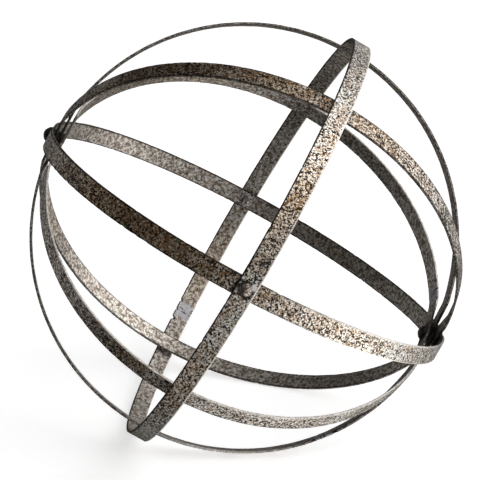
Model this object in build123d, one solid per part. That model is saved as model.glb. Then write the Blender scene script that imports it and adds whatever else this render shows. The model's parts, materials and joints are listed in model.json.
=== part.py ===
from build123d import *
import math
import os

# A folding band sphere: four meridian hoops nested one inside the next and riveted together
# at both poles, and an equator hoop around them that pivots on the outermost meridian hoop.
# Millimetres and degrees. The origin is on the surface that the sphere rests on, straight
# under its centre. +Z is up, +X points the way the pole axis dips, and -Y is the front.

# Steel strip
STRIP_WIDTH = 13.0
STRIP_THICKNESS = 1.8
EDGE_ROUNDING = 0.25

# Hoops, outermost first. Radii are to the outer face.
EQUATOR_RADIUS = 152.5
NEST_AIR = 0.5
POLE_PAD_REACH = 13.4
PAD_BEND_RADIUS = 22.0

# Pole stack: strip, washer, strip, washer, strip, washer, strip
WASHER_THICKNESS = 1.2
WASHER_RADIUS = 5.0
FACE_PLAY = 0.05
HOLE_PLAY = 0.05

# Round-head rivets
POLE_SHANK_RADIUS = 2.5
POLE_HEAD_RADIUS = 5.25
POLE_HEAD_HEIGHT = 4.1
POLE_TAIL_DEPTH = 1.0
PIVOT_SHANK_RADIUS = 2.0
PIVOT_HEAD_RADIUS = 4.1
PIVOT_HEAD_HEIGHT = 2.4
PIVOT_TAIL_RADIUS = 3.0
PIVOT_TAIL_HEIGHT = 0.9
HEAD_LAND = 0.6
BURR_RADIUS = 4.8
BURR_THICKNESS = 0.8

# How the hoops are fanned out: each one's turn about the pole axis, from level at the front
FAN_ANGLES = {
    "outer_meridian_hoop": 12.6,
    "second_meridian_hoop": 63.4,
    "third_meridian_hoop": 113.9,
    "inner_meridian_hoop": 155.6,
}
EQUATOR_SLEW = 1.8

# The sphere lies on the lower edge of its equator hoop and on the second and third
# meridian hoops, and there its pole axis dips by this much
POLE_DIP = 26.0

HOOP_STEP = STRIP_THICKNESS + NEST_AIR
PAD_STEP = STRIP_THICKNESS + WASHER_THICKNESS + 2 * FACE_PLAY
OUTER_RADIUS = EQUATOR_RADIUS - HOOP_STEP
OUTER_PAD_HEIGHT = math.sqrt(OUTER_RADIUS**2 - POLE_PAD_REACH**2)
INNER_PAD_FACE = OUTER_PAD_HEIGHT - 3 * PAD_STEP - STRIP_THICKNESS
POLE_RIVET_GRIP = OUTER_PAD_HEIGHT - INNER_PAD_FACE + FACE_PLAY

EQUATOR_TILT = math.radians(POLE_DIP + EQUATOR_SLEW)
CENTRE_HEIGHT = EQUATOR_RADIUS * math.cos(EQUATOR_TILT) + STRIP_WIDTH / 2 * math.sin(EQUATOR_TILT)
ATTITUDE = Pos(0, 0, CENTRE_HEIGHT) * Rot(Y=POLE_DIP)


def rolled_strip(outer_face, inner_face):
    """A closed hoop of strip, with its long edges rounded. Its axis is Z."""
    hoop = extrude(outer_face - inner_face, STRIP_WIDTH / 2, both=True)
    rims = hoop.faces().sort_by(Axis.Z)
    edges = rims[0].edges() + rims[-1].edges()
    return fillet(edges, EDGE_ROUNDING)


def flattened_circle(radius, pad_height, bend_radius):
    """A circle about Z, flattened into a pad where it crosses each pole, at +X and -X."""
    outline = Circle(radius) & Rectangle(2 * pad_height, 2 * radius)
    return fillet(outline.vertices(), bend_radius)


def meridian_blank(order):
    """The meridian hoop of that order, 0 outermost, before drilling: poles on X, front at -Y."""
    radius = OUTER_RADIUS - order * HOOP_STEP
    pad_height = OUTER_PAD_HEIGHT - order * PAD_STEP
    outer = flattened_circle(radius, pad_height, PAD_BEND_RADIUS)
    inner = flattened_circle(
        radius - STRIP_THICKNESS, pad_height - STRIP_THICKNESS, PAD_BEND_RADIUS - STRIP_THICKNESS
    )
    return rolled_strip(outer, inner)


def equator_blank():
    """The equator hoop before drilling, about the pole axis X."""
    hoop = rolled_strip(Circle(EQUATOR_RADIUS), Circle(EQUATOR_RADIUS - STRIP_THICKNESS))
    return Rot(Y=90) * hoop


def round_head(radius, height):
    """A domed head with a short upright land. Its flat underside is at Z = 0."""
    rise = height - HEAD_LAND
    dome_radius = (radius**2 + rise**2) / (2 * rise)
    blank = Pos(0, 0, height / 2) * Cylinder(radius, height)
    return blank & Pos(0, 0, height - dome_radius) * Sphere(dome_radius)


def pole_rivet():
    """Head up at Z = 0, shank down, and a tail hammered flush into a countersink."""
    grip = Pos(0, 0, -POLE_RIVET_GRIP / 2) * Cylinder(POLE_SHANK_RADIUS, POLE_RIVET_GRIP)
    tail = Pos(0, 0, -POLE_RIVET_GRIP) * countersink(0)
    return round_head(POLE_HEAD_RADIUS, POLE_HEAD_HEIGHT) + grip + tail


def countersink(play):
    """The cone that a flush tail fills, wide at Z = 0 and narrowing upwards."""
    mouth = POLE_SHANK_RADIUS + POLE_TAIL_DEPTH + play
    cone = Cone(mouth, POLE_SHANK_RADIUS + play, POLE_TAIL_DEPTH)
    return Pos(0, 0, POLE_TAIL_DEPTH / 2) * cone


def pivot_rivet(grip):
    """Head up at Z = 0, shank down through both hoops and a burr, and a low domed tail."""
    shank = Pos(0, 0, -grip / 2) * Cylinder(PIVOT_SHANK_RADIUS, grip)
    tail = Rot(X=180) * round_head(PIVOT_TAIL_RADIUS, PIVOT_TAIL_HEIGHT)
    return round_head(PIVOT_HEAD_RADIUS, PIVOT_HEAD_HEIGHT) + shank + Pos(0, 0, -grip) * tail


def ring(outer_radius, bore_radius, thickness):
    return Cylinder(outer_radius, thickness) - Cylinder(bore_radius, thickness)


def fanned(hoop_name, piece):
    """Turns a piece about the pole axis to that hoop's place in the fan, then sets it down."""
    return ATTITUDE * Rot(X=-FAN_ANGLES[hoop_name]) * piece


LOOK_LEFT = Rot(Y=-90)
LOOK_FRONT = Rot(X=90)
LOOK_BACK = Rot(X=-90)

upper_rivet_place = Pos(-OUTER_PAD_HEIGHT, 0, 0) * LOOK_LEFT
lower_rivet_place = Pos(INNER_PAD_FACE - FACE_PLAY, 0, 0) * LOOK_LEFT
pole_drill = Rot(Y=90) * Cylinder(POLE_SHANK_RADIUS, 2 * EQUATOR_RADIUS)
loose_pole_drill = Rot(Y=90) * Cylinder(POLE_SHANK_RADIUS + HOLE_PLAY, 2 * EQUATOR_RADIUS)
pivot_drill = LOOK_FRONT * Cylinder(PIVOT_SHANK_RADIUS, 3 * EQUATOR_RADIUS)
loose_pivot_drill = LOOK_FRONT * Cylinder(PIVOT_SHANK_RADIUS + HOLE_PLAY, 3 * EQUATOR_RADIUS)

parts = {}

# The outermost meridian hoop is drilled tight: the rivets stay still in it
outer_flush = Pos(OUTER_PAD_HEIGHT, 0, 0) * LOOK_LEFT * countersink(0)
outer_hoop = meridian_blank(0) - pole_drill - pivot_drill - outer_flush
parts["outer_meridian_hoop"] = fanned("outer_meridian_hoop", outer_hoop)

# The other meridian hoops turn on the pole rivets
for order, hoop_name in enumerate(FAN_ANGLES):
    if order > 0:
        hoop = meridian_blank(order) - loose_pole_drill
        if hoop_name == "inner_meridian_hoop":
            hoop -= Pos(-INNER_PAD_FACE, 0, 0) * LOOK_LEFT * countersink(HOLE_PLAY)
        parts[hoop_name] = fanned(hoop_name, hoop)

# The equator hoop turns on the pivot rivets, which are square to the outermost hoop
equator_hoop = Rot(Y=EQUATOR_SLEW) * (equator_blank() - loose_pivot_drill)
parts["equator_hoop"] = fanned("outer_meridian_hoop", equator_hoop)

# Pole rivets, the same part twice, both put in from the upper side
parts["upper_pole_rivet"] = ATTITUDE * upper_rivet_place * pole_rivet()
parts["lower_pole_rivet"] = ATTITUDE * lower_rivet_place * pole_rivet()

# Washers that hold the meridian hoops apart at each pole
washer = Rot(Y=90) * ring(WASHER_RADIUS, POLE_SHANK_RADIUS, WASHER_THICKNESS)
for number in range(1, len(FAN_ANGLES)):
    washer_centre = OUTER_PAD_HEIGHT - number * PAD_STEP + FACE_PLAY + WASHER_THICKNESS / 2
    parts[f"upper_pole_washer_{number}"] = ATTITUDE * Pos(-washer_centre, 0, 0) * washer
    parts[f"lower_pole_washer_{number}"] = ATTITUDE * Pos(washer_centre, 0, 0) * washer

# Pivot rivets and the burrs that their tails are closed over, inside the outermost hoop.
# A burr is flat, so it seats on its rim in the hoop's hollow inner face.
head_seat = EQUATOR_RADIUS + FACE_PLAY
burr_seat = math.sqrt((OUTER_RADIUS - STRIP_THICKNESS) ** 2 - BURR_RADIUS**2)
burr_face = burr_seat - BURR_THICKNESS
burr = ring(BURR_RADIUS, PIVOT_SHANK_RADIUS, BURR_THICKNESS)
burr_centre = burr_face + BURR_THICKNESS / 2
for side, facing in (("front", LOOK_FRONT), ("rear", LOOK_BACK)):
    rivet = facing * Pos(0, 0, head_seat) * pivot_rivet(head_seat - burr_face)
    parts[f"{side}_pivot_rivet"] = fanned("outer_meridian_hoop", rivet)
    seated_burr = facing * Pos(0, 0, burr_centre) * burr
    parts[f"{side}_pivot_burr"] = fanned("outer_meridian_hoop", seated_burr)

os.makedirs("parts", exist_ok=True)
for node, shape in parts.items():
    export_step(shape, f"parts/{node}.step")
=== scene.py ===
import json
import math

import bpy
import numpy as np
from mathutils import Matrix, Vector, noise


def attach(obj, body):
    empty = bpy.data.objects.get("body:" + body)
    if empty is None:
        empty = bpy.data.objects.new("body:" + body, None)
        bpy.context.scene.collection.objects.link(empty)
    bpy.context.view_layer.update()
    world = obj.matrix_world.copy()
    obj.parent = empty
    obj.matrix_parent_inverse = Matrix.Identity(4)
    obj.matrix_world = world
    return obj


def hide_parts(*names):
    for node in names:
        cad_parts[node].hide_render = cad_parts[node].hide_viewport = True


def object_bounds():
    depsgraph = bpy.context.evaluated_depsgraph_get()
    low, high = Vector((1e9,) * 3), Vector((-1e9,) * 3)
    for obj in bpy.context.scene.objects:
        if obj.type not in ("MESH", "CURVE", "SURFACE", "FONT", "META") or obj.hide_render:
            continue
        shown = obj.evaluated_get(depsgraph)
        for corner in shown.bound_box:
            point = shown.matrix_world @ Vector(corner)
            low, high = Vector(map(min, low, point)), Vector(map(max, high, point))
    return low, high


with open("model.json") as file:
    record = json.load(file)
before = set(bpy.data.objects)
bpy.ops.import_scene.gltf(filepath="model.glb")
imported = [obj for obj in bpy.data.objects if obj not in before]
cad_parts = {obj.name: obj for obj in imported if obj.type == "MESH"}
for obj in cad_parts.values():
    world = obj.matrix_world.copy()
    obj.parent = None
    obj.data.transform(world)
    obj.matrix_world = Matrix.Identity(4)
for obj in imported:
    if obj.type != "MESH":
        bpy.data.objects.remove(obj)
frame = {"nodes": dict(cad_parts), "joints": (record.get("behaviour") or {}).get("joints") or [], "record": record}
cad_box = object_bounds()

# A folding band sphere of five speckled steel hoops. Lengths are in metres, angles in degrees.
MM = 0.001

# Strip
STRIP_THICKNESS = 1.8 * MM
STRIP_ROUNDING = 0.4 * MM
PAD_BEND_RADIUS = 22 * MM
RING_STEP = 1.25 * MM
FINE_RING_STEP = 0.45 * MM
FACE_COLUMNS = 15
CORNER_COLUMNS = 4
EDGE_COLUMNS = 3

# How uneven the strip is. All of this goes inwards from the CAD solid's faces. A nick starts
# where its noise passes a threshold, and is full depth a ramp further on.
EDGE_WOBBLE = 0.16 * MM
EDGE_WOBBLE_LENGTH = 21 * MM
NICK_DEPTH = 0.42 * MM
NICK_LENGTH = 2.4 * MM
NICK_THRESHOLD = 0.28
NICK_RAMP = 0.4
RIM_SHARPNESS = 6
FACE_DENT = 0.10 * MM
FACE_DENT_LENGTH = 6.5 * MM
FACE_PIT = 0.05 * MM
FACE_PIT_LENGTH = 2.2 * MM

# Butt weld that closes each hoop. Its bead may stand up to about 0.1 mm proud of the CAD solid.
WELD_BEAD_HEIGHT = 0.17 * MM
WELD_BEAD_REACH = 1.3 * MM
WELD_GRIND_DEPTH = 0.12 * MM
WELD_GRIND_REACH = 8 * MM
WELD_RIPPLE_LENGTH = 1.4 * MM
WELD_FINE_REACH = 1.6 * WELD_GRIND_REACH

# Bites that the grinder left in the strip's edges beside a weld: how far along from the weld,
# which edge (-1 or 1), how deep and how long
GRINDER_BITES = (
    (-9 * MM, -1, 1.7 * MM, 1.4 * MM),
    (-1 * MM, -1, 0.8 * MM, 0.8 * MM),
    (7 * MM, -1, 0.9 * MM, 1.0 * MM),
    (3 * MM, 1, 0.4 * MM, 1.0 * MM),
)

# Rivets and washers
POLE_SHANK_RADIUS = 2.5 * MM
POLE_HEAD_RADIUS = 5.25 * MM
POLE_HEAD_HEIGHT = 4.1 * MM
POLE_TAIL_DEPTH = 1.0 * MM
PIVOT_SHANK_RADIUS = 2.0 * MM
PIVOT_HEAD_RADIUS = 4.1 * MM
PIVOT_HEAD_HEIGHT = 2.4 * MM
PIVOT_TAIL_RADIUS = 3.0 * MM
PIVOT_TAIL_HEIGHT = 0.9 * MM
HEAD_LAND = 0.6 * MM
PLAY = 0.05 * MM
WASHER_RADIUS = 5.0 * MM
BURR_RADIUS = 4.8 * MM
BREAK_RADIUS = 0.15 * MM
BREAK_STEPS = 4
TURN_STEPS = 96
SHARP_ANGLE = 40
DRILL_REACH = 1.1

# Hammer marks on the rivets
POLE_HAMMER_DEPTH = 0.22 * MM
POLE_HAMMER_LENGTH = 2.4 * MM
PIVOT_HAMMER_DEPTH = 0.2 * MM
PIVOT_HAMMER_LENGTH = 2 * MM

# Seeds of the noise that makes pieces uneven, and how far a seed shifts it along x, y and z
HOOP_SEED = 3
HOOP_SEED_STEP = 11
POLE_RIVET_SEED = 5
SEED_SHIFTS = (7.3, 3.1, 5.7)

# A y axis this near to square with the front counts as having no front side
NEARLY_SQUARE = 0.2

# A direction that no axis of the object is parallel to
OFF_AXIS = (0.3, 0.2, 1.0)

joints = {joint["name"]: joint for joint in frame["joints"]}
centre = np.array(joints["equator_swing"]["pos_m"])
pole_axis = -np.array(joints["second_meridian_fan"]["axis"])
pivot_axis = np.array(joints["equator_swing"]["axis"])

# Where each hoop's weld is, in degrees round it from its first axis. A meridian hoop's first
# axis is the lower pole, the equator's is its front pivot.
WELDS = {
    "outer_meridian_hoop": 18,
    "second_meridian_hoop": 195,
    "third_meridian_hoop": 41,
    "inner_meridian_hoop": 345,
    "equator_hoop": 142,
}

# Where the colour is made lighter in patches, or darker where the amount is negative: partly the
# finish's own unevenness and partly painted light and shade. And where it is rusty: (angle,
# reach, amount), on the outer and on the inner face
LIGHTER = {
    "outer_meridian_hoop": (
        ((45, 15, 0.38), (112, 16, 0.45), (148, 13, -0.25)),
        ((222, 14, 0.25), (248, 12, -0.2)),
    ),
    "second_meridian_hoop": (
        ((25, 10, -0.4), (45, 12, -0.2), (92, 8, -0.3), (140, 9, -0.3)),
        ((202, 14, 0.4), (238, 12, 0.6), (258, 12, 0.7), (306, 18, 0.3), (346, 10, 0.5)),
    ),
    "third_meridian_hoop": (
        (),
        ((297, 22, 0.55),),
    ),
    "inner_meridian_hoop": (
        ((35, 12, 0.3), (97, 12, 0.25)),
        ((216, 12, -0.4), (240, 18, -0.3), (271, 7, -0.4), (350, 12, 0.4)),
    ),
    "equator_hoop": (
        ((8, 16, 0.3), (52, 12, 0.3), (318, 16, 0.4)),
        ((120, 8, 0.3), (165, 10, 0.2), (215, 16, -0.6), (245, 10, 0.5)),
    ),
}
RUSTY = {
    "outer_meridian_hoop": (((120, 28, 1.3), (60, 18, 0.35)), ()),
    "second_meridian_hoop": (((76, 13, 0.6), (101, 9, 0.6), (130, 24, 0.9)), ((214, 9, 0.5),)),
    "third_meridian_hoop": ((), ()),
    "inner_meridian_hoop": (((107, 15, 0.6),), ((226, 22, 0.6),)),
    "equator_hoop": (
        ((338, 13, 0.7), (318, 6, 0.3), (4, 8, 0.2), (28, 12, 0.45)),
        ((157, 13, 0.8),),
    ),
}

# How black each hoop's two edges are, the one at -z and the one at +z: painted shade on the side
# away from the light, with some soot. The rest is painted pale, as painted light.
EDGE_SHADE_AND_SOOT = {
    "outer_meridian_hoop": (1.0, 1.0),
    "second_meridian_hoop": (0.9, 0.9),
    "third_meridian_hoop": (0.9, 0.9),
    "inner_meridian_hoop": (0.3, 0.8),
    "equator_hoop": (1.0, 0.1),
}

# Where a hoop's black edges are painted pale instead, as painted light where the edge faces the
# light: (angle, reach, amount)
LIT_EDGES = {
    "outer_meridian_hoop": ((48, 34, 1.0),),
    "third_meridian_hoop": ((70, 18, 0.8),),
}

# Black at the poles, where the strips crowd together, and round the pivot rivets: partly grime and
# partly painted shade. Black grime in the grinder's bites, and a dark ring rubbed into the equator
# hoop by something round
POLE_GRIME_AND_SHADE_REACH = 9.5 * MM
POLE_EDGE_GRIME_AND_SHADE_REACH = 24 * MM
POLE_GRIME_AND_SHADE_OUTSIDE = 0.25
PIVOT_GRIME_AND_SHADE_REACH = 5.6 * MM
PIVOT_GRIME_AND_SHADE_INSIDE = 0.35
BITE_GRIME_REACHES = 1.2
EDGE_BAND = 0.97
SCUFF_ANGLE = 352.5
SCUFF_ACROSS = 2.2 * MM
SCUFF_RADIUS = 2.6 * MM
SCUFF_WIDTH = 0.7 * MM
SCUFF_DARKNESS = 0.7

# A painted highlight on the equator hoop beside the front pivot's head, a spot of near white
# metal: its place along and across the strip, and how far it reaches each way
HIGHLIGHT_ALONG = -3.4 * MM
HIGHLIGHT_ACROSS = 3.7 * MM
HIGHLIGHT_LENGTH = 2.8 * MM
HIGHLIGHT_WIDTH = 1.8 * MM


def unit(vector):
    return vector / np.linalg.norm(vector)


def wrapped(distance, whole):
    """A distance or angle round a loop, from -whole/2 to whole/2."""
    return (distance + whole / 2) % whole - whole / 2


def node_points(node):
    """A CAD node's vertices, measured from the sphere's centre."""
    mesh = frame["nodes"][node].data
    points = np.empty(len(mesh.vertices) * 3)
    mesh.vertices.foreach_get("co", points)
    return points.reshape(-1, 3) - centre


def span(node, axis):
    """The nearest and furthest that a CAD node reaches from the centre along an axis."""
    reach = node_points(node) @ axis
    return reach.min(), reach.max()


class Hoop:
    """A hoop's own axes and sizes, read from its CAD node, and the line that its strip follows.

    x runs to the first pole or pivot, z is square to the hoop, and y is towards the front, or
    upwards where it has no front side.
    """

    def __init__(self, node, first_axis, has_pads):
        points = node_points(node)
        least_spread = np.linalg.eigh(points.T @ points)[1][:, 0]
        x = unit(np.array(first_axis))
        z = unit(least_spread - (least_spread @ x) * x)
        y = np.cross(z, x)
        forwards, upwards = -y[1], y[2]
        if (upwards if abs(forwards) < NEARLY_SQUARE else forwards) < 0:
            y, z = -y, -z
        self.node = node
        self.axes = np.array([x, y, z])
        local = points @ self.axes.T
        self.radius = np.hypot(local[:, 0], local[:, 1]).max()
        self.half_width = np.abs(local[:, 2]).max()
        self.pad = np.abs(local[:, 0]).max() if has_pads else self.radius
        self.bend = PAD_BEND_RADIUS if has_pads else self.radius
        self.bend_x = self.pad - self.bend
        self.bend_y = math.sqrt(max((self.radius - self.bend) ** 2 - self.bend_x**2, 0))
        self.bend_turn = math.atan2(self.bend_y, self.bend_x) if has_pads else 0
        self.bend_end = self.bend_y + self.bend * self.bend_turn
        self.quarter = self.bend_end + self.radius * (math.pi / 2 - self.bend_turn)
        self.length = 4 * self.quarter

    def outline(self, along):
        """Points of the outer face's line and its outward directions, at distances round it."""
        quadrant = np.floor(along / self.quarter).astype(int) % 4
        reach = along % self.quarter
        reach = np.where(quadrant % 2 == 1, self.quarter - reach, reach)
        flat = reach < self.bend_y
        bent = (reach < self.bend_end) & ~flat
        turn = np.where(
            bent,
            (reach - self.bend_y) / self.bend,
            self.bend_turn + (reach - self.bend_end) / self.radius,
        )
        turn = np.where(flat, 0, turn)
        x = np.where(bent, self.bend_x + self.bend * np.cos(turn), self.radius * np.cos(turn))
        y = np.where(bent, self.bend_y + self.bend * np.sin(turn), self.radius * np.sin(turn))
        x, y = np.where(flat, self.pad, x), np.where(flat, reach, y)
        right = np.where((quadrant == 0) | (quadrant == 3), 1, -1)
        front = np.where(quadrant < 2, 1, -1)
        return x * right, y * front, np.cos(turn) * right, np.sin(turn) * front

    def depth(self, x, y):
        """How far points lie inside the outer face."""
        x, y = np.abs(x), np.abs(y)
        turn = np.arctan2(y - self.bend_y, x - self.bend_x)
        bent = self.bend - np.hypot(x - self.bend_x, y - self.bend_y)
        depth = np.where(turn < self.bend_turn, bent, self.radius - np.hypot(x, y))
        return np.where(y < self.bend_y, self.pad - x, depth)

    def local(self, points):
        return (points - centre) @ self.axes.T

    def world(self, x, y, z):
        return centre + np.stack([x, y, z], -1) @ self.axes


def strip_section(half_width, thickness, rounding):
    """The strip's cross-section as a loop of (across, depth), depth counted from the outer face."""
    flat = half_width - rounding
    face = np.linspace(-flat, flat, FACE_COLUMNS)
    turn = np.linspace(0, math.pi / 2, CORNER_COLUMNS + 2)[1:-1]
    edge = np.linspace(rounding, thickness - rounding, EDGE_COLUMNS)
    swing, drop = rounding * np.sin(turn), rounding * (1 - np.cos(turn))
    across = [face, flat + swing, half_width + 0 * edge, (flat + swing)[::-1]]
    depth = [0 * face, drop, edge, (thickness - drop)[::-1]]
    across, depth = np.concatenate(across), np.concatenate(depth)
    return np.append(across, -across), np.append(depth, thickness - depth)


def ring_places(hoop, weld):
    """Distances round the hoop at which it has a ring of vertices, closer together at its weld."""
    count = round(hoop.length / RING_STEP)
    coarse = np.arange(count) * hoop.length / count
    away = np.abs(wrapped(coarse - weld, hoop.length))
    fine = weld + np.arange(-WELD_FINE_REACH, WELD_FINE_REACH, FINE_RING_STEP)
    places = np.append(coarse[away > WELD_FINE_REACH + RING_STEP / 2], fine % hoop.length)
    return np.sort(places)


def roughness_at(points, length, seed):
    """Smooth noise from -1 to 1 at each point, with features of about that length."""
    shift = Vector([seed * step for step in SEED_SHIFTS])
    return np.array([noise.noise(Vector(p) / length + shift) for p in points])


def marks_at(points, length, seed):
    """The same noise from 0 to 1, about 0.5."""
    return np.clip(0.5 + roughness_at(points, length, seed), 0, 1)


def worn_strip(hoop, seed, weld):
    """The swept strip's vertices, dented, nicked and welded, as (rings, columns, 3)."""
    along = ring_places(hoop, weld)
    section_across, section_depth = strip_section(hoop.half_width, STRIP_THICKNESS, STRIP_ROUNDING)
    along, across = np.meshgrid(along, section_across, indexing="ij")
    depth = np.broadcast_to(section_depth, across.shape)
    x, y, out_x, out_y = hoop.outline(along)
    points = np.stack([x, y, across], -1).reshape(-1, 3)
    shape = across.shape
    side = np.sign(across)
    rim = np.clip(np.abs(across) / hoop.half_width, 0, 1) ** RIM_SHARPNESS

    wobble = 0.5 + 0.5 * roughness_at(points, EDGE_WOBBLE_LENGTH, seed).reshape(shape)
    nick = roughness_at(points, NICK_LENGTH, seed + 1).reshape(shape)
    nick = np.clip((nick - NICK_THRESHOLD) / NICK_RAMP, 0, 1)
    narrower = side * rim * (EDGE_WOBBLE * np.clip(wobble, 0, 1) + NICK_DEPTH * nick)

    dent = marks_at(points, FACE_DENT_LENGTH, seed + 2).reshape(shape)
    pit = marks_at(points, FACE_PIT_LENGTH, seed + 3).reshape(shape)
    inner = 2 * depth / STRIP_THICKNESS - 1
    sunk = -inner * (FACE_DENT * dent + FACE_PIT * pit)

    away = wrapped(along - weld, hoop.length)
    ripple = 0.75 + 0.5 * roughness_at(points, WELD_RIPPLE_LENGTH, seed + 4).reshape(shape)
    bead = WELD_BEAD_HEIGHT * ripple * np.exp(-((away / WELD_BEAD_REACH) ** 2))
    grind = WELD_GRIND_DEPTH * np.exp(-((away / WELD_GRIND_REACH) ** 4))
    sunk += inner * (bead - grind)
    for place, edge, bite_depth, bite_reach in GRINDER_BITES:
        bite = edge * bite_depth * np.exp(-(((away - place) / bite_reach) ** 4)) * rim
        narrower += np.where(side == edge, bite, 0)

    across, depth = across - narrower, depth + sunk
    x, y = x - out_x * depth, y - out_y * depth
    return hoop.world(x, y, across)


def mesh_object(name, vertices, faces):
    mesh = bpy.data.meshes.new(name)
    mesh.from_pydata([tuple(v) for v in vertices], [], faces)
    mesh.validate()
    piece = bpy.data.objects.new(name, mesh)
    bpy.context.scene.collection.objects.link(piece)
    return piece


def tube_faces(rings, columns, closed):
    """Quads between rings of vertices. closed joins the last ring to the first."""
    faces = []
    for i in range(rings if closed else rings - 1):
        for j in range(columns):
            here, there = i * columns, (i + 1) % rings * columns
            step = (j + 1) % columns
            faces.append((here + j, there + j, there + step, here + step))
    return faces


def frame_along(axis):
    """Three directions, the last of them along axis."""
    side = unit(np.cross(axis, OFF_AXIS))
    return np.array([side, np.cross(axis, side), axis])


def lathe(name, profile, seat, axis, roughness=0.0, grain=2.0 * MM, seed=0):
    """Turns a profile of (radius, height) about axis. seat is where its height is 0.

    The profile starts and ends on the axis. roughness is how deep its hammer marks go, and
    grain how long they are.
    """
    directions = frame_along(unit(np.array(axis)))
    angles = np.arange(TURN_STEPS) * 2 * math.pi / TURN_STEPS
    rings = []
    for radius, height in profile[1:-1]:
        ring = np.stack([radius * np.cos(angles), radius * np.sin(angles), height + 0 * angles], -1)
        rings.append(ring)
    points = np.concatenate(rings)
    if roughness:
        marks = marks_at(points, grain, seed)
        reach = np.hypot(points[:, 0], points[:, 1])
        points[:, :2] *= (1 - roughness * marks / np.maximum(reach, grain))[:, None]
        points[:, 2] -= roughness * marks * np.clip(points[:, 2] / grain, -1, 1)
    tips = [(0, 0, profile[0][1]), (0, 0, profile[-1][1])]
    points = np.concatenate([points, tips])
    count = len(rings)
    faces = tube_faces(count, TURN_STEPS, False)
    last = (count - 1) * TURN_STEPS
    for j in range(TURN_STEPS):
        step = (j + 1) % TURN_STEPS
        faces.append((len(points) - 2, j, step))
        faces.append((len(points) - 1, last + step, last + j))
    return mesh_object(name, seat + points @ directions, faces)


def turned_ring(name, outer, bore, low, high, axis, break_radius):
    """A washer about axis from low to high, with its corners broken."""
    directions = frame_along(unit(np.array(axis)))
    corners = ((outer, low, -1, -1), (outer, high, -1, 1), (bore, high, 1, 1), (bore, low, 1, -1))
    loop = []
    for k, (radius, height, inward, up) in enumerate(corners):
        arc = [i * math.pi / (2 * BREAK_STEPS) for i in range(BREAK_STEPS + 1)]
        for turn in arc if k % 2 else arc[::-1]:
            drop = break_radius * (1 - math.cos(turn))
            slide = break_radius * (1 - math.sin(turn))
            loop.append((radius + inward * drop, height - up * slide))
    angles = np.arange(TURN_STEPS) * 2 * math.pi / TURN_STEPS
    radii = np.array([r for r, _ in loop])
    heights = np.array([h for _, h in loop])
    turn, radii = np.meshgrid(angles, radii, indexing="ij")
    points = np.stack(
        [radii * np.cos(turn), radii * np.sin(turn), np.broadcast_to(heights, radii.shape)], -1
    )
    points = centre + points.reshape(-1, 3) @ directions
    return mesh_object(name, points, tube_faces(TURN_STEPS, len(loop), True))


def face_outwards(piece):
    """Recalculates the normals and shades the piece smooth, apart from its sharp edges."""
    bpy.context.view_layer.objects.active = piece
    for other in bpy.context.selected_objects:
        other.select_set(False)
    piece.select_set(True)
    bpy.ops.object.mode_set(mode="EDIT")
    bpy.ops.mesh.select_all(action="SELECT")
    bpy.ops.mesh.normals_make_consistent(inside=False)
    bpy.ops.object.mode_set(mode="OBJECT")
    piece.data.shade_smooth()
    piece.data.set_sharp_from_angle(angle=math.radians(SHARP_ANGLE))


def cut(piece, cutters):
    """Cuts the cutters out of the piece and removes them."""
    for cutter in cutters:
        face_outwards(cutter)
        modifier = piece.modifiers.new("drill", "BOOLEAN")
        modifier.operation = "DIFFERENCE"
        modifier.solver = "EXACT"
        modifier.object = cutter
    evaluated = piece.evaluated_get(bpy.context.evaluated_depsgraph_get())
    mesh = bpy.data.meshes.new_from_object(evaluated)
    piece.modifiers.clear()
    piece.data = mesh
    for cutter in cutters:
        bpy.data.objects.remove(cutter)


def drill(axis, radius, reach):
    """A cutter along an axis through the centre, out to reach on both sides."""
    profile = [(0, -reach), (radius, -reach), (radius, reach), (0, reach)]
    return lathe("drill", profile, centre, axis)


def countersink(seat, axis, radius, depth):
    """A cutter, wide just outside seat and narrowing inwards. axis points outwards."""
    over = depth / 4
    profile = [(0, -depth), (radius, -depth), (radius + depth + over, over), (0, over)]
    return lathe("countersink", profile, seat, axis)


def note_places(piece, hoop, weld):
    """Writes on each vertex where it is on the strip, and what the finish is like there."""
    count = len(piece.data.vertices)
    points = np.empty(count * 3)
    piece.data.vertices.foreach_get("co", points)
    points = points.reshape(-1, 3)
    x, y, z = hoop.local(points).T
    around = np.degrees(np.arctan2(y, x)) % 360
    depth = hoop.depth(x, y)
    from_weld = np.radians(wrapped(around - weld, 360)) * hoop.radius
    is_outside = depth < STRIP_THICKNESS / 2
    lighter = [spots_at(spots, around) for spots in LIGHTER[hoop.node]]
    rusty = [spots_at(spots, around) for spots in RUSTY[hoop.node]]
    low, high = EDGE_SHADE_AND_SOOT[hoop.node]
    lit_edges = np.clip(spots_at(LIT_EDGES.get(hoop.node, ()), around), 0, 1)
    notes = {
        "across": z / MM,
        "depth": depth / MM,
        "from_weld": from_weld / MM,
        "lighter": np.where(is_outside, lighter[0], lighter[1]),
        "rusty": np.where(is_outside, rusty[0], rusty[1]),
        "edge_shade_and_soot": np.where(z < 0, low, high) * (1 - lit_edges),
        "grime_and_shade": grime_and_shade_at(hoop, points, around, from_weld, z, is_outside),
        "painted_highlight": painted_highlight_at(hoop, around, z, is_outside),
    }
    for name, values in notes.items():
        attribute = piece.data.attributes.new(name, "FLOAT", "POINT")
        attribute.data.foreach_set("value", values.astype(np.float32))


def spots_at(spots, around):
    """The amounts of soft-edged spots, added up, at angles round a hoop."""
    amount = np.zeros_like(around)
    for angle, reach, share in spots:
        amount += share * np.exp(-((wrapped(around - angle, 360) / reach) ** 2))
    return amount


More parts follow.
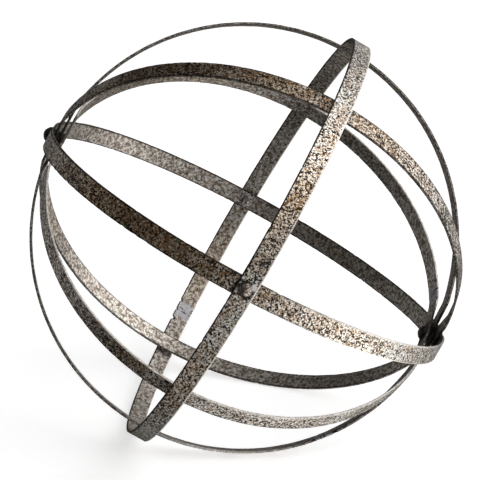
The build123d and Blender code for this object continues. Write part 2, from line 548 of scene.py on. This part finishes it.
def grime_and_shade_at(hoop, points, around, from_weld, across, is_outside):
    """How black the strip is, from 0 to 1: grime and painted shade at the poles and pivots, grime at the bites and
    scuff.
    """
    from_poles = np.linalg.norm(np.cross(points - centre, pole_axis), axis=1)
    from_pivots = np.linalg.norm(np.cross(points - centre, pivot_axis), axis=1)
    grime_and_shade = np.zeros_like(around)
    # At the poles: grime and painted shade, weaker on the outer hoop's open outer face
    if hoop.node != "equator_hoop":
        open_face = is_outside & (hoop.node == "outer_meridian_hoop")
        share = np.where(open_face, POLE_GRIME_AND_SHADE_OUTSIDE, 1.0)
        on_edge = np.abs(across) > EDGE_BAND * hoop.half_width
        reach = np.where(on_edge, POLE_EDGE_GRIME_AND_SHADE_REACH, POLE_GRIME_AND_SHADE_REACH)
        grime_and_shade = share * np.exp(-((from_poles / reach) ** 4))
    # Round the pivots: grime and painted shade round the rivet heads
    if hoop.node in ("equator_hoop", "outer_meridian_hoop"):
        share = np.where(is_outside, 1.0, PIVOT_GRIME_AND_SHADE_INSIDE)
        grime_and_shade = np.maximum(grime_and_shade, share * np.exp(-((from_pivots / PIVOT_GRIME_AND_SHADE_REACH) ** 6)))
    if hoop.node == "equator_hoop":
        along = np.radians(wrapped(around - SCUFF_ANGLE, 360)) * hoop.radius
        from_ring = np.hypot(along, across - SCUFF_ACROSS) - SCUFF_RADIUS
        scuff = SCUFF_DARKNESS * is_outside * np.exp(-((from_ring / SCUFF_WIDTH) ** 2))
        grime_and_shade = np.maximum(grime_and_shade, scuff)
    for place, edge, bite_depth, bite_reach in GRINDER_BITES:
        from_bite = np.hypot(from_weld - place, across - edge * (hoop.half_width - bite_depth))
        reach = BITE_GRIME_REACHES * bite_reach
        grime_and_shade = np.maximum(grime_and_shade, np.exp(-((from_bite / reach) ** 4)))
    return grime_and_shade


def painted_highlight_at(hoop, around, across, is_outside):
    """How strong the painted highlight beside the front pivot's head is, from 0 to 1."""
    if hoop.node != "equator_hoop":
        return np.zeros_like(around)
    along = np.radians(wrapped(around, 360)) * hoop.radius
    away = ((along - HIGHLIGHT_ALONG) / HIGHLIGHT_LENGTH) ** 2 + ((across - HIGHLIGHT_ACROSS) / HIGHLIGHT_WIDTH) ** 2
    return is_outside * np.exp(-away)


def dome(radius, height, steps=14):
    """Profile of a round head from its top to its seat, with a short upright land."""
    rise = height - HEAD_LAND
    ball = (radius**2 + rise**2) / (2 * rise)
    half = math.asin(radius / ball)
    arc = []
    for i in range(steps + 1):
        turn = half * i / steps
        arc.append((ball * math.sin(turn), height - ball + ball * math.cos(turn)))
    ease = 0.25 * HEAD_LAND
    return arc + [(radius, HEAD_LAND - ease), (radius, ease), (radius - ease, 0)]


def along_shank(radius, start, end, steps=10):
    """Profile of a rivet's shank from one height to another."""
    return [(radius, start + (end - start) * i / steps) for i in range(steps + 1)]


def build_hoops():
    """Makes the five hoops, and gives their Hoops by node name."""
    meridians = sorted(
        (n for n in frame["nodes"] if n.endswith("meridian_hoop")),
        key=lambda n: -span(n, pole_axis)[1],
    )
    hoops = {n: Hoop(n, pole_axis, True) for n in meridians}
    hoops["equator_hoop"] = Hoop("equator_hoop", pivot_axis, False)
    outer, inner = hoops[meridians[0]], hoops[meridians[-1]]
    reach = DRILL_REACH * hoops["equator_hoop"].radius
    for number, (node, hoop) in enumerate(hoops.items()):
        weld = hoop.length * WELDS[node] / 360
        rings = worn_strip(hoop, HOOP_SEED_STEP * number + HOOP_SEED, weld)
        count, columns = rings.shape[:2]
        piece = mesh_object(f"{node}_strip", rings.reshape(-1, 3), tube_faces(count, columns, True))
        face_outwards(piece)
        cutters = []
        loose = 0 if hoop is outer else PLAY
        if node != "equator_hoop":
            cutters.append(drill(pole_axis, POLE_SHANK_RADIUS + loose, reach))
        if node in ("equator_hoop", outer.node):
            cutters.append(drill(pivot_axis, PIVOT_SHANK_RADIUS + loose, reach))
        if hoop is outer:
            seat = centre + pole_axis * outer.pad
            cutters.append(countersink(seat, pole_axis, POLE_SHANK_RADIUS, POLE_TAIL_DEPTH))
        if hoop is inner:
            seat = centre - pole_axis * (inner.pad - STRIP_THICKNESS)
            cutters.append(countersink(seat, pole_axis, POLE_SHANK_RADIUS + PLAY, POLE_TAIL_DEPTH))
        cut(piece, cutters)
        face_outwards(piece)
        note_places(piece, hoop, WELDS[node])
        stand_in(piece, node, hoop_finish)
    return hoops


def stand_in(piece, node, material):
    """Puts a piece in its CAD node's place."""
    piece.data.materials.clear()
    piece.data.materials.append(material)
    bodies = frame["record"]["behaviour"]["bodies"]
    body = next(name for name, nodes in bodies.items() if node in nodes)
    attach(piece, body)
    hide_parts(node)


def build_pole_rivets(hoops):
    outer = hoops["outer_meridian_hoop"]
    inner = hoops["inner_meridian_hoop"]
    grip = outer.pad - inner.pad + STRIP_THICKNESS + PLAY
    wide = POLE_SHANK_RADIUS + POLE_TAIL_DEPTH
    shank = along_shank(POLE_SHANK_RADIUS, 0, -grip + POLE_TAIL_DEPTH)
    tail = [(share * wide, -grip) for share in (1, 0.8, 0.4, 0)]
    profile = dome(POLE_HEAD_RADIUS, POLE_HEAD_HEIGHT) + shank + tail
    seats = {
        "upper_pole_rivet": centre - pole_axis * outer.pad,
        "lower_pole_rivet": centre + pole_axis * (inner.pad - STRIP_THICKNESS - PLAY),
    }
    for number, (node, seat) in enumerate(seats.items()):
        marks = (POLE_HAMMER_DEPTH, POLE_HAMMER_LENGTH, number + POLE_RIVET_SEED)
        piece = lathe(f"{node}_hammered", profile, seat, -pole_axis, *marks)
        face_outwards(piece)
        stand_in(piece, node, blackened)


def build_pivot_rivets(hoops):
    seat_reach = hoops["equator_hoop"].radius + PLAY
    for number, (side, facing) in enumerate((("front", 1), ("rear", -1))):
        low, high = sorted(abs(v) for v in span(f"{side}_pivot_burr", pivot_axis))
        grip = seat_reach - low
        tail = [(r, -grip - h) for r, h in reversed(dome(PIVOT_TAIL_RADIUS, PIVOT_TAIL_HEIGHT))]
        profile = dome(PIVOT_HEAD_RADIUS, PIVOT_HEAD_HEIGHT)
        profile += along_shank(PIVOT_SHANK_RADIUS, 0, -grip) + tail
        axis = pivot_axis * facing
        seat = centre + axis * seat_reach
        marks = (PIVOT_HAMMER_DEPTH, PIVOT_HAMMER_LENGTH, number)
        rivet = lathe(f"{side}_pivot_rivet_hammered", profile, seat, axis, *marks)
        face_outwards(rivet)
        stand_in(rivet, f"{side}_pivot_rivet", rivet_paint)
        burr = turned_ring(
            f"{side}_pivot_burr_ring", BURR_RADIUS, PIVOT_SHANK_RADIUS, low, high, axis, BREAK_RADIUS
        )
        face_outwards(burr)
        stand_in(burr, f"{side}_pivot_burr", burr_paint)


def build_washers():
    for end, facing in (("upper", -1), ("lower", 1)):
        axis = pole_axis * facing
        for number in (1, 2, 3):
            node = f"{end}_pole_washer_{number}"
            low, high = span(node, axis)
            piece = turned_ring(
                f"{node}_ring", WASHER_RADIUS, POLE_SHANK_RADIUS, low, high, axis, BREAK_RADIUS
            )
            face_outwards(piece)
            stand_in(piece, node, dull_steel)


class Graph:
    """A node tree, with short ways to add to it."""

    def __init__(self, tree):
        self.nodes = tree.nodes
        self.links = tree.links

    def add(self, kind, **settings):
        node = self.nodes.new(kind)
        for name, value in settings.items():
            setattr(node, name, value)
        return node

    def feed(self, socket, value):
        if isinstance(value, bpy.types.NodeSocket):
            self.links.new(value, socket)
        else:
            socket.default_value = value

    def math(self, operation, *values, clamp=False):
        node = self.add("ShaderNodeMath", operation=operation, use_clamp=clamp)
        for socket, value in zip(node.inputs, values):
            self.feed(socket, value)
        return node.outputs[0]

    def step(self, value, low, high):
        """0 below low, 1 above high and smooth between them. high may be the smaller."""
        node = self.add("ShaderNodeMapRange", interpolation_type="SMOOTHSTEP")
        self.feed(node.inputs["Value"], value)
        self.feed(node.inputs["From Min"], low)
        self.feed(node.inputs["From Max"], high)
        return node.outputs["Result"]


class Finish(Graph):
    """A material made of nodes. Lengths in it are millimetres, and shares run from 0 to 1."""

    def __init__(self, name):
        self.material = bpy.data.materials.new(name)
        self.material.use_nodes = True
        super().__init__(self.material.node_tree)
        self.shader = self.nodes["Principled BSDF"]
        place = self.add("ShaderNodeTexCoord").outputs["Object"]
        scale = self.add("ShaderNodeVectorMath", operation="SCALE")
        scale.inputs["Scale"].default_value = 1 / MM
        self.links.new(place, scale.inputs[0])
        self.place = scale.outputs["Vector"]

    def noise(self, size, detail, rough, shift):
        """Noise about 0.5 with features of about size. Each shift gives another pattern."""
        moved = self.add("ShaderNodeVectorMath", operation="ADD")
        self.feed(moved.inputs[0], self.place)
        moved.inputs[1].default_value = (shift, 1.7 * shift, -0.6 * shift)
        node = self.add("ShaderNodeTexNoise")
        self.feed(node.inputs["Vector"], moved.outputs[0])
        node.inputs["Scale"].default_value = 1 / size
        node.inputs["Detail"].default_value = detail
        node.inputs["Roughness"].default_value = rough
        return node.outputs["Fac"]

    def wander(self, width, size, detail, rough, shift):
        """Noise about 0, over a range of width."""
        return self.math("MULTIPLY_ADD", self.noise(size, detail, rough, shift), width, -width / 2)

    def mix(self, share, first, second, amount=1.0, blend="MIX"):
        """From first to second by share, or by amount at most."""
        if amount != 1.0:
            share = self.math("MULTIPLY", share, amount)
        node = self.add("ShaderNodeMix", data_type="RGBA", blend_type=blend, clamp_result=True)
        self.feed(node.inputs["Factor"], share)
        for socket, value in ((node.inputs[6], first), (node.inputs[7], second)):
            self.feed(socket, (*value, 1) if isinstance(value, tuple) else value)
        return node.outputs[2]

    def note(self, name):
        """What note_places wrote under that name."""
        return self.add("ShaderNodeAttribute", attribute_name=name).outputs["Fac"]

    def finish(self, colour, roughness, height, relief, metallic=0.0):
        """Links the results to the shader. relief is how deep the height's 0 to 1 goes."""
        self.feed(self.shader.inputs["Base Color"], colour)
        self.feed(self.shader.inputs["Roughness"], roughness)
        self.feed(self.shader.inputs["Metallic"], metallic)
        bump = self.add("ShaderNodeBump")
        bump.inputs["Strength"].default_value = 1.0
        bump.inputs["Distance"].default_value = relief * MM
        self.feed(bump.inputs["Height"], height)
        self.links.new(bump.outputs["Normal"], self.shader.inputs["Normal"])
        return self.material


# Finish colours, linear
# Pale, for the grains and also for painted light on the edges that face the light
PALE = (0.98, 0.93, 0.87)
SAND = (0.80, 0.69, 0.56)
TAUPE = (0.19, 0.15, 0.115)
RUST = (0.30, 0.16, 0.048)
# Near black, for soot specks and also for painted shade at the edges, poles and pivots
SOOT_AND_SHADE_BLACK = (0.014, 0.009, 0.006)
CREAM_GREY = (0.60, 0.57, 0.52)
PINK_GREY = (0.56, 0.51, 0.465)
MUD_GREY = (0.155, 0.122, 0.092)
STAIN = (0.05, 0.037, 0.025)
BARE_STEEL = (0.52, 0.51, 0.55)
SCRATCHED_STEEL = (0.36, 0.35, 0.385)
# Near white, for the painted highlight beside the front pivot's head
HIGHLIGHT_WHITE = (1.0, 0.99, 0.97)
CRACK = (0.04, 0.035, 0.035)
RUST_TINT = (1.0, 0.83, 0.62)
PAPER = (0.86, 0.86, 0.86)
BRIGHT_PAPER = (0.89, 0.89, 0.89)

# Sizes of the hoop finish's features, in millimetres
DRIFT_SIZE = 26
GRAIN_SIZE = 0.95
SPECK_SIZE = 1.45
WARM_PATCH_SIZE = 5.5
RUST_PATCH_SIZE = 8
RUST_FLECK_SIZE = 1.6
TINT_SIZE = 6.0
MOTTLE_SIZE = 2.3
STAIN_SIZE = 1.5
SCRATCH_SIZE = 0.8
FINE_RELIEF_SIZE = 0.5

# Where the hoop finish changes, in millimetres, as the start and end of a soft step: the sides
# and inner face by depth below the outer face, the corners by distance across from the strip's
# middle, the weld's patch by distance from the weld, and a crack by distance from its own line,
# which runs beside the weld
SIDE_FROM = (0.35, 0.55)
SIDE_TO = (1.45, 1.25)
INNER_FACE_FROM = (1.35, 1.55)
CORNER_FROM = (5.4, 5.8)
WELD_PATCH_TO = (7.5, 4.5)
CRACK_TO = (0.75, 0.25)
CRACK_FROM_WELD = 1.2


def grained_outside(graph, grain, rusty):
    """The outer faces' pale and sandy grains on brown, with rust flecks in patches."""
    warm = graph.step(graph.noise(WARM_PATCH_SIZE, 3, 0.6, 31.0), 0.40, 0.62)
    pale = graph.mix(warm, PALE, SAND, 0.45)
    body = graph.mix(graph.step(grain, 0.42, 0.51), TAUPE, pale)
    patch = graph.step(graph.noise(RUST_PATCH_SIZE, 2, 0.5, 47.0), 0.44, 0.60)
    patch = graph.math("MULTIPLY_ADD", patch, 0.55, graph.math("MULTIPLY", rusty, 0.6), clamp=True)
    fleck = graph.math("MULTIPLY_ADD", patch, 0.05, graph.noise(RUST_FLECK_SIZE, 3, 0.6, 41.0))
    fleck = graph.math("MULTIPLY", graph.step(fleck, 0.505, 0.55), patch)
    return graph.mix(fleck, body, RUST, 0.9)


def mottled_inside(graph, thickness):
    """The inner faces' softer mottling, stained brown where the finish is thick."""
    tint = graph.step(graph.noise(TINT_SIZE, 2, 0.5, 79.0), 0.35, 0.65)
    tint = graph.mix(tint, CREAM_GREY, PINK_GREY)
    mottle = graph.noise(MOTTLE_SIZE, 4, 0.65, 83.0)
    body = graph.mix(graph.step(mottle, 0.38, 0.61), MUD_GREY, tint)
    stain = graph.math("ADD", graph.noise(STAIN_SIZE, 3, 0.6, 89.0), thickness)
    return graph.mix(graph.step(stain, 0.60, 0.68), body, STAIN, 0.8)


def lit_or_shaded_and_sooty(graph, body, where, pale_amount, shade_and_soot_amount):
    """Colours a place at the strip's edges pale, as painted light, and black, as painted shade with some soot, by
    how its edge is noted.
    """
    shade_and_soot = graph.note("edge_shade_and_soot")
    lit_share = graph.math("MULTIPLY", where, graph.math("SUBTRACT", 1.0, shade_and_soot))
    body = graph.mix(lit_share, body, PALE, pale_amount)
    return graph.mix(graph.math("MULTIPLY", where, shade_and_soot), body, SOOT_AND_SHADE_BLACK, shade_and_soot_amount)


def lightened_or_darkened(graph, body, lighter, rusty):
    """The finish made lighter or darker in patches, partly its own unevenness and partly painted light and shade,
    and browned where it is rusty.
    """
    glow = graph.math("EXPONENT", graph.math("MULTIPLY", lighter, 0.8))
    shade = graph.add("ShaderNodeCombineColor")
    for channel in shade.inputs[:3]:
        graph.feed(channel, glow)
    body = graph.mix(1.0, body, shade.outputs[0], blend="MULTIPLY")
    return graph.mix(rusty, body, RUST_TINT, 0.6, blend="MULTIPLY")


def ground_weld(graph, body):
    """Scratched steel where a weld was ground, with a cracked line along each side of its bead."""
    from_weld = graph.note("from_weld")
    ragged = graph.wander(7.0, 3.5, 3, 0.6, 97.0)
    off_weld = graph.math("ADD", graph.math("ABSOLUTE", from_weld), ragged)
    scratches = graph.noise(SCRATCH_SIZE, 4, 0.7, 99.0)
    scratched = graph.mix(scratches, SCRATCHED_STEEL, BARE_STEEL)
    body = graph.mix(graph.step(off_weld, *WELD_PATCH_TO), body, scratched, 0.8)
    line = graph.math("ADD", from_weld, graph.wander(3.0, 2.6, 2, 0.5, 101.0))
    line = graph.math("SUBTRACT", graph.math("ABSOLUTE", line), CRACK_FROM_WELD)
    crack = graph.step(graph.math("ABSOLUTE", line), *CRACK_TO)
    crack = graph.math("MULTIPLY", crack, graph.step(graph.noise(3.0, 2, 0.5, 107.0), 0.40, 0.52))
    return graph.mix(crack, body, CRACK, 0.85)


def edged(graph, body, side):
    """The corners between the faces and the strip's sides, painted pale as a highlight or black as painted shade
    with some soot.
    """
    across = graph.math("ABSOLUTE", graph.note("across"))
    ragged = graph.wander(1.1, 2.4, 3, 0.6, 103.0)
    corner = graph.step(graph.math("ADD", across, ragged), *CORNER_FROM)
    corner = graph.math("MULTIPLY", corner, graph.math("SUBTRACT", 1.0, side))
    return lit_or_shaded_and_sooty(graph, body, corner, 0.8, 0.95)


def shaded_grimed_and_highlighted(graph, body):
    """Ragged black, partly grime and partly painted shade, and the painted highlight beside the front pivot's
    head.
    """
    grime_and_shade = graph.note("grime_and_shade")
    ragged = graph.math("MULTIPLY", graph.wander(1.6, 1.3, 3, 0.6, 109.0), grime_and_shade)
    grime_and_shade = graph.step(graph.math("ADD", grime_and_shade, ragged), 0.15, 0.7)
    # Black of grime and painted shade
    body = graph.mix(grime_and_shade, body, SOOT_AND_SHADE_BLACK, 0.9)
    # Painted highlight: near white metal beside the front pivot's head
    painted_highlight = graph.math("ADD", graph.note("painted_highlight"), graph.noise(1.1, 3, 0.6, 111.0))
    return graph.mix(graph.step(painted_highlight, 0.85, 1.05), body, HIGHLIGHT_WHITE, 0.95)


def hoop_finish_material():
    """Antiqued silver: pale and sandy grains with dark brown and rust specks on the outer faces,
    softer mottling on the inner faces, edges painted pale as painted light or black as painted
    shade with some soot, patches made lighter or darker that are partly painted light and shade,
    black at the poles and pivots that is partly painted shade, a painted highlight beside the
    front pivot, and bare steel where a weld was ground."""
    graph = Finish("hoop_finish")
    depth, lighter, rusty = graph.note("depth"), graph.note("lighter"), graph.note("rusty")
    inner = graph.step(depth, *INNER_FACE_FROM)
    side = graph.math("MULTIPLY", graph.step(depth, *SIDE_FROM), graph.step(depth, *SIDE_TO))

    # Soot lies thicker in some places, and thinner where the colour is made lighter in patches
    thinned = graph.math("MULTIPLY", lighter, -0.07)
    thickness = graph.math("MULTIPLY_ADD", graph.noise(DRIFT_SIZE, 3, 0.6, 3.0), 0.16, thinned)
    speck = graph.math("ADD", graph.noise(SPECK_SIZE, 3, 0.65, 61.0), thickness)
    speck = graph.step(speck, 0.58, 0.605)

    grain = graph.noise(GRAIN_SIZE, 2, 0.6, 23.0)
    body = graph.mix(speck, grained_outside(graph, grain, rusty), SOOT_AND_SHADE_BLACK, 0.97)
    # The sides: painted light on the edge that faces the light, painted shade with some soot on the other
    body = lit_or_shaded_and_sooty(graph, body, side, 0.85, 0.55)
    body = graph.mix(inner, body, mottled_inside(graph, thickness))
    body = lightened_or_darkened(graph, body, lighter, rusty)
    body = ground_weld(graph, body)
    body = edged(graph, body, side)
    body = shaded_grimed_and_highlighted(graph, body)

    rough = graph.math("MULTIPLY_ADD", grain, 0.24, 0.30)
    rough = graph.math("MULTIPLY_ADD", speck, 0.12, rough)
    relief = graph.math("MULTIPLY_ADD", speck, 0.45, graph.math("MULTIPLY", grain, 0.4))
    fine_relief = graph.noise(FINE_RELIEF_SIZE, 2, 0.6, 113.0)
    relief = graph.math("MULTIPLY_ADD", fine_relief, 0.35, relief)
    return graph.finish(body, rough, relief, 0.06, 0.85)


def blackened_material():
    """Satin black of the pole rivets, rubbed through to grey on the high spots."""
    graph = Finish("blackened_steel")
    scale = graph.noise(1.6, 4, 0.65, 5.0)
    colour = graph.mix(graph.step(scale, 0.35, 0.7), (0.010, 0.010, 0.010), (0.032, 0.029, 0.026))
    dust = graph.step(graph.noise(0.8, 3, 0.6, 15.0), 0.62, 0.72)
    colour = graph.mix(dust, colour, (0.16, 0.14, 0.12), 0.5)
    rough = graph.math("MULTIPLY_ADD", scale, 0.35, 0.28)
    return graph.finish(colour, rough, graph.noise(0.9, 3, 0.6, 25.0), 0.08, 0.3)


def fine_paint_material(name, dark, pale):
    """The hoops' finish as it lies on the small pieces: finely speckled."""
    graph = Finish(name)
    grain = graph.noise(0.8, 3, 0.7, 7.0)
    colour = graph.mix(graph.step(grain, 0.36, 0.62), dark, pale)
    speck = graph.step(graph.noise(1.2, 3, 0.65, 17.0), 0.50, 0.58)
    colour = graph.mix(speck, colour, SOOT_AND_SHADE_BLACK, 0.9)
    rough = graph.math("MULTIPLY_ADD", grain, 0.2, 0.16)
    return graph.finish(colour, rough, graph.math("ADD", grain, speck), 0.05, 0.85)


def dull_steel_material():
    """Steel washers near black, partly old grease and partly painted shade between the strips, with some rust."""
    graph = Finish("dull_steel")
    grain = graph.noise(0.6, 4, 0.7, 9.0)
    colour = graph.mix(grain, (0.02, 0.018, 0.016), (0.07, 0.064, 0.058))
    rust = graph.step(graph.noise(1.9, 3, 0.6, 19.0), 0.55, 0.68)
    colour = graph.mix(rust, colour, (0.07, 0.035, 0.018), 0.6)
    rough = graph.math("MULTIPLY_ADD", grain, 0.3, 0.3)
    return graph.finish(colour, rough, grain, 0.03, 0.7)


def floor_material():
    """White paper that glows a little, as a lit white table does in a studio."""
    graph = Finish("pale_floor")
    tone = graph.noise(260, 2, 0.5, 1.0)
    colour = graph.mix(tone, PAPER, BRIGHT_PAPER)
    graph.shader.inputs["Emission Color"].default_value = (1, 1, 1, 1)
    graph.shader.inputs["Emission Strength"].default_value = FLOOR_GLOW
    return graph.finish(colour, 0.9, tone, 0.01)


# Stage. The camera aims at the sphere's centre, moved right and up by a little.
CAMERA_DISTANCE = 1.1666
CAMERA_AZIMUTH = 5.41
CAMERA_ELEVATION = 22.83
CAMERA_ROLL = 1.9
CAMERA_LENS = 129.1
SENSOR_WIDTH = 36
CLIP_START = 0.05
AIM_RIGHT = -0.0040
AIM_UP = -0.0011
FLOOR_HALF = 8.0
FLOOR_GAP = 0.2 * MM
FLOOR_GLOW = 0.6
BACKDROP = 1.0

# The studio's soft lights, each fading out smoothly: (azimuth, elevation, strength).
# The white table lights the object from below, and is brighter at the right.
STUDIO = {
    "high_right": (70, 50, 2.2),
    "rear_right": (135, 10, 1.8),
    "table_front_right": (50, -20, 1.6),
    "table_below": (60, -60, 1.8),
    "left_fill": (-110, -5, 0.5),
}
LIGHT_FALLOFF = 6


def look_from(azimuth, elevation):
    """The direction from the centre to a viewer, azimuth 0 in front and 90 at the right."""
    a, e = math.radians(azimuth), math.radians(elevation)
    return Vector((math.sin(a) * math.cos(e), -math.cos(a) * math.cos(e), math.sin(e)))


def build_camera():
    camera = bpy.data.objects.new("camera", bpy.data.cameras.new("camera"))
    bpy.context.scene.collection.objects.link(camera)
    back = look_from(CAMERA_AZIMUTH, CAMERA_ELEVATION)
    facing = (-back).to_track_quat("-Z", "Y").to_matrix()
    facing = facing @ Matrix.Rotation(math.radians(CAMERA_ROLL), 3, "Z")
    aim = Vector(centre) + facing @ Vector((AIM_RIGHT, AIM_UP, 0))
    camera.matrix_world = Matrix.Translation(aim + back * CAMERA_DISTANCE) @ facing.to_4x4()
    camera.data.sensor_width = SENSOR_WIDTH
    camera.data.lens = CAMERA_LENS
    camera.data.clip_start = CLIP_START
    bpy.context.scene.camera = camera


def build_world():
    """The studio's soft lights. The camera itself sees an even white backdrop."""
    world = bpy.data.worlds.new("studio")
    world.use_nodes = True
    graph = Graph(world.node_tree)
    direction = graph.add("ShaderNodeTexCoord").outputs["Generated"]
    light = 0.0
    for azimuth, elevation, strength in STUDIO.values():
        facing = graph.add("ShaderNodeVectorMath", operation="DOT_PRODUCT")
        graph.feed(facing.inputs[0], direction)
        facing.inputs[1].default_value = look_from(azimuth, elevation)
        share = graph.math("MAXIMUM", facing.outputs["Value"], 0.0)
        share = graph.math("POWER", share, LIGHT_FALLOFF)
        light = graph.math("MULTIPLY_ADD", share, strength, light)
    seen = graph.add("ShaderNodeLightPath").outputs["Is Camera Ray"]
    backdrop = graph.add("ShaderNodeMix", data_type="FLOAT")
    graph.feed(backdrop.inputs[0], seen)
    graph.feed(backdrop.inputs[2], light)
    graph.feed(backdrop.inputs[3], BACKDROP)
    graph.feed(graph.nodes["Background"].inputs["Color"], (1, 1, 1, 1))
    graph.feed(graph.nodes["Background"].inputs["Strength"], backdrop.outputs[0])
    bpy.context.scene.world = world


def build_floor():
    """A white floor that only the camera sees, because the studio's lights include it."""
    height = cad_box[0].z - FLOOR_GAP
    signs = [(-1, -1), (1, -1), (1, 1), (-1, 1)]
    corners = [(x * FLOOR_HALF, y * FLOOR_HALF, height) for x, y in signs]
    floor = mesh_object("floor", corners, [(0, 1, 2, 3)])
    floor.data.materials.append(floor_material())
    floor.visible_diffuse = False
    floor.visible_glossy = False
    floor.visible_shadow = False


hoop_finish = hoop_finish_material()
blackened = blackened_material()
rivet_paint = fine_paint_material("rivet_paint", (0.10, 0.078, 0.062), (0.52, 0.45, 0.39))
burr_paint = fine_paint_material("burr_paint", (0.42, 0.39, 0.41), (0.85, 0.80, 0.82))
dull_steel = dull_steel_material()

hoops_built = build_hoops()
build_pole_rivets(hoops_built)
build_pivot_rivets(hoops_built)
build_washers()
build_camera()
build_floor()
build_world()
bpy.context.scene.view_settings.view_transform = "Standard"
